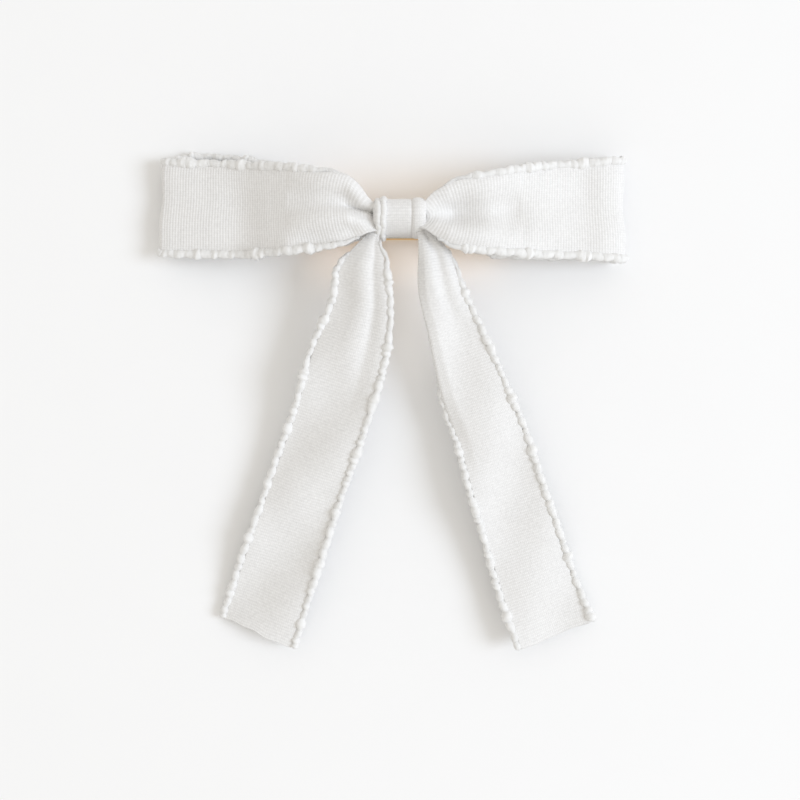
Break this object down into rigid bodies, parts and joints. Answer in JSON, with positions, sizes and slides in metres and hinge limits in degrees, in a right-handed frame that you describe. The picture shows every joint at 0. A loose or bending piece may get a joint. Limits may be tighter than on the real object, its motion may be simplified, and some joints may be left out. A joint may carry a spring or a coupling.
{
  "type": "ribbon hair bow on an alligator clip",
  "caption": "Two-loop ribbon hair bow with two long tails, slub-yarn edges and a wrapped knot, on a sprung single-prong hair clip.",
  "frame": {"origin": "on the clip's flat underside, straight below the middle of the knot", "axes": "+X towards the bow's right as seen from the front, +Y away from the tails, +Z out of the bow's front"},
  "size_m": [0.1145, 0.1252, 0.0196],
  "materials": {
    "ribbon": "fine cross-ribbed weave with a soft satin sheen",
    "slub_yarn": "soft spun yarn with slubs, slightly glossy",
    "thread": "matte twisted thread",
    "lining": "ribbed grosgrain",
    "glue": "hot-melt glue, slightly cloudy",
    "clip_metal": "polished gold-tone plate with fine handling scratches",
    "spring_wire": "drawn spring wire"
  },
  "bodies": {
    "bow": {"left_loop": "ribbon", "right_loop": "ribbon", "left_loop_upper_cord": "slub_yarn", "left_loop_lower_cord": "slub_yarn", "right_loop_upper_cord": "slub_yarn", "right_loop_lower_cord": "slub_yarn", "center_wrap": "ribbon", "wrap_outer_cord": "slub_yarn", "wrap_inner_cord": "slub_yarn", "binding_thread": "thread", "glue_pad": "glue", "clip_lining": "lining", "clip_top_arm": "clip_metal", "hinge_pin": "clip_metal", "torsion_spring": "spring_wire"},
    "jaw": {"clip_bottom_arm": "clip_metal"},
    "left_tail": {"left_tail_ribbon": "ribbon", "left_tail_outer_cord": "slub_yarn", "left_tail_inner_cord": "slub_yarn"},
    "right_tail": {"right_tail_ribbon": "ribbon", "right_tail_outer_cord": "slub_yarn", "right_tail_inner_cord": "slub_yarn"}
  },
  "joints": [
    {"name": "clip_open", "type": "hinge", "parent": "bow", "child": "jaw", "pos_m": [-0.013, 0, 0.0036], "axis": [0, 1, 0], "range_deg": [0, 26], "stiffness_Nm_per_rad": 0.12, "springref_deg": -28.65, "deforming": ["torsion_spring"]},
    {"name": "left_tail_lift", "type": "hinge", "parent": "bow", "child": "left_tail", "pos_m": [-0.0042, -0.0066, 0.0141], "axis": [-0.9579, 0.287, 0], "range_deg": [0, 60]},
    {"name": "right_tail_lift", "type": "hinge", "parent": "bow", "child": "right_tail", "pos_m": [0.0054, -0.0066, 0.0141], "axis": [-0.9501, -0.312, 0], "range_deg": [0, 60]}
  ]
}
